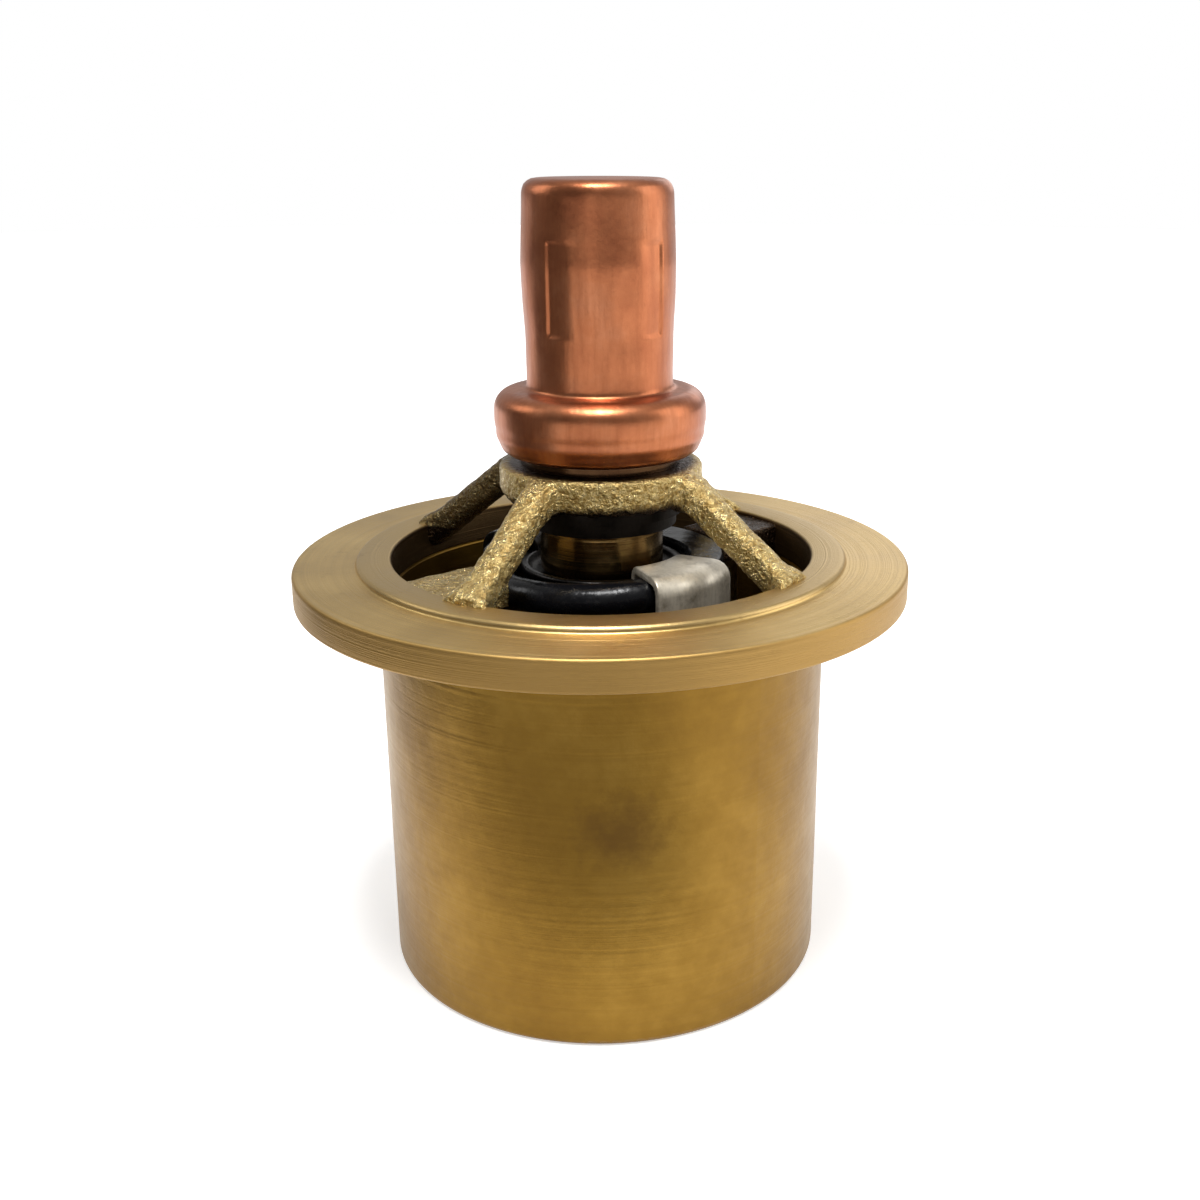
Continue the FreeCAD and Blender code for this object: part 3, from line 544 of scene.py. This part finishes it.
# The sliding sleeve: a thin brass skirt, turned, then tarnished brown in use, with a darker blotch at the
# front and fine lines round it. Its mesh is the CAD's own.
BLOTCH_PLACE = (0.003, -0.0279, 0.028)
tarnished_brass = new_material("tarnished_brass", (0.40, 0.26, 0.08), 0.4, 1.0)
tree = tarnished_brass.node_tree
place = object_place(tree)
wide = speckle(tree, place, 0.024, 5.0, 0.55)
small = speckle(tree, place, 0.0024, 5.0, 0.65)
lines = lathe_lines(tree, place, 0.0009)
tone = math_of(tree, "ADD", math_of(tree, "MULTIPLY", wide, 0.7), math_of(tree, "MULTIPLY", small, 0.3))
tarnish_stops = [(0.30, (0.19, 0.098, 0.014)), (0.50, (0.235, 0.128, 0.019)), (0.70, (0.30, 0.172, 0.031))]
color = ramp(tree, tone, tarnish_stops)
color = blend_colors(tree, spread(tree, lines, 0.35, 0.65, 0.0, 0.10), color, (0.17, 0.085, 0.012))
offset = put(tree, "VectorMath", {0: place, 1: BLOTCH_PLACE}, operation="SUBTRACT").outputs[0]
offset = put(tree, "Mapping", {"Vector": offset, "Scale": (1, 1, 1.2)}).outputs[0]
off_blotch = put(tree, "VectorMath", {0: offset}, operation="LENGTH").outputs["Value"]
off_blotch = math_of(tree, "ADD", off_blotch, spread(tree, small, 0.3, 0.7, -0.0018, 0.0018))
color = blend_colors(tree, spread(tree, off_blotch, 0.001, 0.0065, 0.50, 0.0), color, (0.09, 0.042, 0.014))
rough = spread(tree, tone, 0.35, 0.65, 0.46, 0.34)
normal = relief(tree, lines, 0.00004)
normal = relief(tree, small, 0.00006, normal)
wire(tree, color, rough, normal)
shader = tree.nodes["Principled BSDF"]
shader.inputs["Coat Weight"].default_value = 0.1
shader.inputs["Coat Roughness"].default_value = 0.3
nodes["sliding_sleeve"].material_slots[0].material = tarnished_brass

# The sensing cup: one piece of drawn copper, its mouth pressed out into a bulge and rolled in under the
# guide's flange. Two jaws have gripped it, and left an upright step at each side of the front and the back.
COPPER = (0.43, 0.15, 0.066)
copper = new_material("drawn_copper", COPPER, 0.3, 1.0)
tree = copper.node_tree
place = object_place(tree)
wide = speckle(tree, place, 0.008, 5.0, 0.6)
drawn = put(tree, "Mapping", {"Vector": place, "Scale": (1, 1, 0.12)}).outputs[0]
streaks = speckle(tree, drawn, 0.0011, 4.0, 0.6)
small = speckle(tree, place, 0.0007, 4.0, 0.6)
color = ramp(tree, wide, [(0.30, (0.34, 0.108, 0.048)), (0.50, COPPER), (0.72, (0.50, 0.20, 0.10))])
color = blend_colors(tree, spread(tree, streaks, 0.42, 0.70, 0.0, 0.40), color, (0.27, 0.085, 0.038))
color = blend_colors(tree, spread(tree, small, 0.55, 0.80, 0.0, 0.22), color, (0.22, 0.075, 0.04))
rubbed = spread(tree, streaks, 0.3, 0.7, 0.0, 0.08)
rough = math_of(tree, "ADD", spread(tree, wide, 0.3, 0.7, 0.27, 0.35), rubbed)
normal = relief(tree, streaks, 0.00003)
normal = relief(tree, small, 0.00002, normal)
wire(tree, color, rough, normal)

# From the top of the dome down its outside, round the bulge with its two grooves to the rolled lip, and back
# up the inner wall.
CUP_OUTLINE = [
    (0, 98.0), (8.85, 98.0, 1.6), (8.98, 93.5), (9.20, 88.5), (9.08, 84.0), (8.86, 80.0), (8.82, 76.0),
    (8.86, 73.95), (9.02, 73.62), (9.40, 73.80), (9.85, 73.70), (12.85, 73.6, 2.1), (12.85, 69.9),
    (12.80, 69.35), (12.56, 69.05), (12.74, 68.75), (12.66, 68.1), (12.50, 67.62), (12.20, 67.36),
    (12.30, 67.0), (11.90, 66.45), (11.35, 66.05), (10.8, 65.9), (9.97, 65.9), (9.97, 66.7), (12.05, 66.7),
    (12.05, 72.9), (7.9, 72.9), (7.9, 96.6), (0, 97.2),
]
SKIN_RADIUS = 8.65
BULGE_SKIN_RADIUS = 12.1
BULGE_SHOULDER = 73
LONGEST_STEP = 0.45
FINE_STEP = 0.28


def on_skin(spot):
    """Tells the cup's outside from its inner wall, its dome's top and its lip."""
    return spot.x > SKIN_RADIUS and (spot.z > BULGE_SHOULDER or spot.x > BULGE_SKIN_RADIUS)


cup = bmesh.new()
outline_of(cup, CUP_OUTLINE, closed=False)
for edge in cup.edges[:]:
    length = edge.calc_length()
    if on_skin((edge.verts[0].co + edge.verts[1].co) / 2) and length > LONGEST_STEP:
        bmesh.ops.subdivide_edges(cup, edges=[edge], cuts=int(length / FINE_STEP))
for _ in range(3):
    skin = [point for point in cup.verts if on_skin(point.co) and len(point.link_edges) == 2]
    bmesh.ops.smooth_vert(cup, verts=skin, factor=0.5, use_axis_x=True, use_axis_y=False, use_axis_z=True)
turn_outline(cup, 400)

JAW_AZIMUTH = math.radians(8)
JAW_HALF_WIDTH = 6.45
JAW_BOTTOM = 80.7
JAW_TOP = 91.1
JAW_DEPTH = 0.24
INNER_WALL_REACH = 8.3
for point in cup.verts:
    reach = math.hypot(point.co.x, point.co.y)
    if reach < INNER_WALL_REACH:
        continue
    aside = abs(point.co.x * math.cos(JAW_AZIMUTH) + point.co.y * math.sin(JAW_AZIMUTH))
    inside = 1 - smooth_step(aside, JAW_HALF_WIDTH, JAW_HALF_WIDTH + 0.35)
    across = smooth_step(aside, 2.5, JAW_HALF_WIDTH - 0.3)
    below_top = 1 - smooth_step(point.co.z, JAW_TOP, JAW_TOP + 0.25)
    upright = smooth_step(point.co.z, JAW_BOTTOM - 0.25, JAW_BOTTOM) * below_top
    dent = JAW_DEPTH * inside * across ** 2 * upright
    uneven = 0.05 * noise.noise(point.co * 0.25)
    shrink = (reach - dent + uneven) / reach
    point.co.x *= shrink
    point.co.y *= shrink
sensor_cup = finish_piece(cup, "copper_cup", copper, "seat", 50)
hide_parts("sensor_cup")

# The return spring: round steel wire with a thick glossy black coat, wound right-handed. Its end turns lie
# close and are ground flat, and each ends in a thin tip.
black_coat = new_material("black_spring_coat", (0.012, 0.012, 0.014), 0.2)
tree = black_coat.node_tree
place = object_place(tree)
drips = speckle(tree, place, 0.0022, 3.0)
dust = spread(tree, speckle(tree, place, 0.0006, 5.0, 0.7), 0.56, 0.78, 0.0, 0.35)
color = blend_colors(tree, dust, (0.004, 0.004, 0.005), (0.04, 0.037, 0.033))
wire(tree, color, spread(tree, drips, 0.35, 0.65, 0.16, 0.30), relief(tree, drips, 0.00012))
tree.nodes["Principled BSDF"].inputs["Specular IOR Level"].default_value = 0.25

COIL_RADIUS = 13.15
WIRE_RADIUS = 2.2
TURN_STEPS = 60
FIRST_TURN_HEIGHT = 15.6
END_TURN_RISE = 4.5
OPEN_TURNS = 4
OPEN_RISE = 29.4
SPRING_FOOT = 16.7
SPRING_TOP = 52.88
SPRING_START = math.radians(178)
spring = bmesh.new()
ring = bmesh.ops.create_circle(spring, segments=22, radius=WIRE_RADIUS)["verts"]
bmesh.ops.rotate(spring, verts=ring, cent=ORIGIN, matrix=Matrix.Rotation(math.pi / 2, 3, "X"))
bmesh.ops.translate(spring, verts=ring, vec=(COIL_RADIUS, 0, FIRST_TURN_HEIGHT))
last = spring.verts[:] + spring.edges[:]
for rise, turns in ((END_TURN_RISE, 1), (OPEN_RISE, OPEN_TURNS), (END_TURN_RISE, 1)):
    steps = turns * TURN_STEPS
    last = bmesh.ops.spin(spring, geom=last, cent=ORIGIN, axis=AXIS, dvec=(0, 0, rise / steps),
                          angle=turns * math.tau, steps=steps)["geom_last"]
bmesh.ops.holes_fill(spring, edges=[edge for edge in spring.edges if edge.is_boundary])
bmesh.ops.recalc_face_normals(spring, faces=spring.faces[:])
for level, side in ((SPRING_FOOT, -1), (SPRING_TOP, 1)):
    bmesh.ops.bisect_plane(spring, geom=spring.verts[:] + spring.edges[:] + spring.faces[:],
                           dist=CUT_TOLERANCE, plane_co=(0, 0, level), plane_no=(0, 0, side),
                           clear_outer=True)
    bmesh.ops.holes_fill(spring, edges=[edge for edge in spring.edges if edge.is_boundary])
bmesh.ops.rotate(spring, verts=spring.verts[:], cent=ORIGIN, matrix=Matrix.Rotation(SPRING_START, 3, "Z"))
bmesh.ops.triangulate(spring, faces=[face for face in spring.faces if len(face.verts) > 4])
black_spring = finish_piece(spring, "black_spring", black_coat, "seat", 40)
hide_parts("return_spring")
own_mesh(black_spring)


# The bridge: pressed from bright steel sheet, a dish round the guide's neck and two straps bent down over
# the spring, with rivets that hold its feet. The front strap is streaked, and the dish and the rear strap
# are painted near-black as shade under the hub.
def pressed_steel(name, clean, dirty, patch, roughness, metallic=1.0):
    """Bare steel with dirt in patches and the fine scratches of a press."""
    material = new_material(name, clean, roughness, metallic)
    tree = material.node_tree
    place = object_place(tree)
    cloud = speckle(tree, place, patch, 5.0, 0.65)
    scratch_place = put(tree, "Mapping", {"Vector": place, "Scale": (1, 1, 0.1)}).outputs[0]
    scratches = speckle(tree, scratch_place, 0.0004, 3.0)
    tint = ramp(tree, cloud, [(0.30, dirty), (0.50, clean), (0.8, tuple(min(1, c * 1.15) for c in clean))])
    tint = blend_colors(tree, spread(tree, scratches, 0.45, 0.75, 0.0, 0.3), tint, dirty)
    wire(tree, tint, spread(tree, cloud, 0.3, 0.7, roughness + 0.14, roughness - 0.04),
         relief(tree, scratches, 0.00003))
    return material


STREAK_PATCH = 0.0032
bridge_steel = pressed_steel("bright_bridge_steel", (0.62, 0.56, 0.45), (0.27, 0.23, 0.17), STREAK_PATCH,
                             0.33, metallic=0.55)
# The near-black steel of the dish and the rear strap is painted shade under the hub.
shaded_dish_steel = pressed_steel("shaded_dish_steel", (0.035, 0.032, 0.03), (0.012, 0.011, 0.01), STREAK_PATCH,
                                0.25)
nodes["bridge_rivets"].material_slots[0].material = bridge_steel

SHEET = 1.0
DISH_RADIUS = 10.2
DISH_FLOOR = 49.6
DISH_RIM = 52.1
STRAP_AZIMUTH = math.radians(45)
STRAP_SPAN = math.radians(42)
STRAP_RADIUS = 17.35
STRAP_TOP = 53.9
STRAP_ROOT_RADIUS = 9.25
STRAP_ROOT_SHEET = 0.9
STRAP_ROOT_FOOT = 51.2
FOOT_RADIUS = 24.4
FOOT_TOP = 6.0
dish = bmesh.new()
outline_of(dish, [
    (0, DISH_FLOOR), (DISH_RADIUS, DISH_FLOOR, 2.2), (DISH_RADIUS, DISH_RIM, 0.35),
    (DISH_RADIUS - SHEET, DISH_RIM, 0.35), (DISH_RADIUS - SHEET, DISH_FLOOR + SHEET, 1.2),
    (0, DISH_FLOOR + SHEET),
], closed=False)
turn_outline(dish, 120)
dish_piece = finish_piece(dish, "bridge_dish", shaded_dish_steel, "sleeve")
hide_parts("spring_bridge")

strap = bmesh.new()
outline_of(strap, [
    (STRAP_ROOT_RADIUS + STRAP_ROOT_SHEET, STRAP_ROOT_FOOT),
    (STRAP_ROOT_RADIUS + STRAP_ROOT_SHEET, STRAP_TOP - SHEET, 0.6),
    (STRAP_RADIUS - SHEET, STRAP_TOP - SHEET, 1.2), (STRAP_RADIUS - SHEET, FOOT_TOP - SHEET, 2.2),
    (FOOT_RADIUS, FOOT_TOP - SHEET), (FOOT_RADIUS, FOOT_TOP), (STRAP_RADIUS, FOOT_TOP, 1.2),
    (STRAP_RADIUS, STRAP_TOP, 2.2), (STRAP_ROOT_RADIUS, STRAP_TOP, 1.6),
    (STRAP_ROOT_RADIUS, STRAP_ROOT_FOOT),
])
bmesh.ops.rotate(strap, verts=strap.verts[:], cent=ORIGIN, matrix=Matrix.Rotation(-STRAP_SPAN / 2, 3, "Z"))
bmesh.ops.edgeloop_fill(strap, edges=strap.edges[:])
sides = strap.faces[:]
spun = bmesh.ops.spin(strap, geom=strap.faces[:], cent=ORIGIN, axis=AXIS, angle=STRAP_SPAN, steps=30)
sides += [item for item in spun["geom_last"] if isinstance(item, bmesh.types.BMFace)]
bmesh.ops.recalc_face_normals(strap, faces=strap.faces[:])
side_edges = list({edge for face in sides for edge in face.edges})
bmesh.ops.bevel(strap, geom=side_edges, offset=0.16, segments=3, profile=0.5, affect="EDGES", material=-1)
for name, azimuth, material in (("front_strap", STRAP_AZIMUTH, bridge_steel),
                                ("rear_strap", STRAP_AZIMUTH + math.pi, shaded_dish_steel)):
    one_strap = bmesh.new()
    joined(one_strap, strap.copy(), [azimuth])
    strap_piece = finish_piece(one_strap, name, material, "sleeve")
    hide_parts("spring_bridge")
strap.free()

# The plate under the spring: pressed from steel sheet, dull grey from the oil it stands in. It hangs on the
# two tie rods and carries the spring's lower end turn.
plate_steel = pressed_steel("dull_plate_steel", (0.30, 0.30, 0.30), (0.12, 0.11, 0.10), 0.004, 0.38)
nodes["lower_spring_seat"].material_slots[0].material = plate_steel

# Tie rods and nuts: turned steel, the rods shouldered where they meet the plate. They hang from the two
# lands of the casting, and a nut on each rod holds the plate from below.
rod_steel = pressed_steel("turned_rod_steel", (0.50, 0.50, 0.49), (0.22, 0.20, 0.17), 0.003, 0.28)
for name in ("tie_rod_front", "tie_rod_rear", "tie_nuts"):
    nodes[name].material_slots[0].material = rod_steel

# The guide of the wax element: bright turned brass, seen as a neck between hub and dish. Its colour is
# painted dark as shade under the hub, and darker still, as painted shade, where it comes out of the hub
# under the cup.
GUIDE_SHADE_FOOT = 0.0642
GUIDE_SHADE_TOP = 0.0646
guide_brass = new_material("guide_brass", (0.26, 0.16, 0.06), 0.26, 1.0)
tree = guide_brass.node_tree
place = object_place(tree)
lines = lathe_lines(tree, place, 0.0005)
cloud = speckle(tree, place, 0.004)
# These dark brass colours are painted shade under the hub; the band at the cup is darker painted shade.
color = ramp(tree, cloud, [(0.32, (0.14, 0.08, 0.028)), (0.58, (0.26, 0.165, 0.06))])
at_cup = spread(tree, height_of(tree, place), GUIDE_SHADE_FOOT, GUIDE_SHADE_TOP, 0.0, 0.9)
color = blend_colors(tree, at_cup, color, (0.05, 0.022, 0.012))
wire(tree, color, spread(tree, cloud, 0.3, 0.7, 0.26, 0.17), relief(tree, lines, 0.00003))
nodes["element_guide"].material_slots[0].material = guide_brass

# Washer and open ring under the hub: blackened spring steel. The ring snaps into a groove of the neck and
# holds the guide in the hub, with the washer between them.
black_steel = pressed_steel("blackened_steel", (0.016, 0.013, 0.011), (0.008, 0.007, 0.006), 0.003, 0.5)
for name in ("hub_washer", "neck_snap_ring"):
    nodes[name].material_slots[0].material = black_steel

# The piston: a ground and polished steel pin that comes out of the guide when the wax melts, and pushes on
# the bridge's dish.
piston_steel = pressed_steel("ground_piston_steel", (0.70, 0.70, 0.70), (0.52, 0.52, 0.51), 0.003, 0.12)
nodes["piston"].material_slots[0].material = piston_steel


# What the cup and the guide hold and nobody sees: solid wax with copper flakes, the rubber diaphragm and
# plug, and a disc and a wiper ring of slippery white plastic.
def soft_filling(name, clean, marked, roughness, grain):
    """A moulded or cast filling with a mottled colour and a fine uneven skin."""
    material = new_material(name, clean, roughness)
    tree = material.node_tree
    place = object_place(tree)
    cloud = speckle(tree, place, grain, 5.0, 0.6)
    wire(tree, ramp(tree, cloud, [(0.35, marked), (0.6, clean)]),
         spread(tree, cloud, 0.3, 0.7, roughness + 0.1, roughness - 0.05), relief(tree, cloud, 0.00005))
    return material


wax = soft_filling("copper_flecked_wax", (0.78, 0.70, 0.50), (0.62, 0.45, 0.28), 0.5, 0.0012)
rubber = soft_filling("seal_rubber", (0.028, 0.028, 0.028), (0.05, 0.05, 0.048), 0.6, 0.0008)
plastic = soft_filling("white_plastic", (0.80, 0.80, 0.77), (0.70, 0.70, 0.66), 0.4, 0.0015)
for name, material in (("wax_charge", wax), ("diaphragm", rubber), ("rubber_plug", rubber),
                       ("backup_disc", plastic), ("piston_wiper", plastic)):
    nodes[name].material_slots[0].material = material
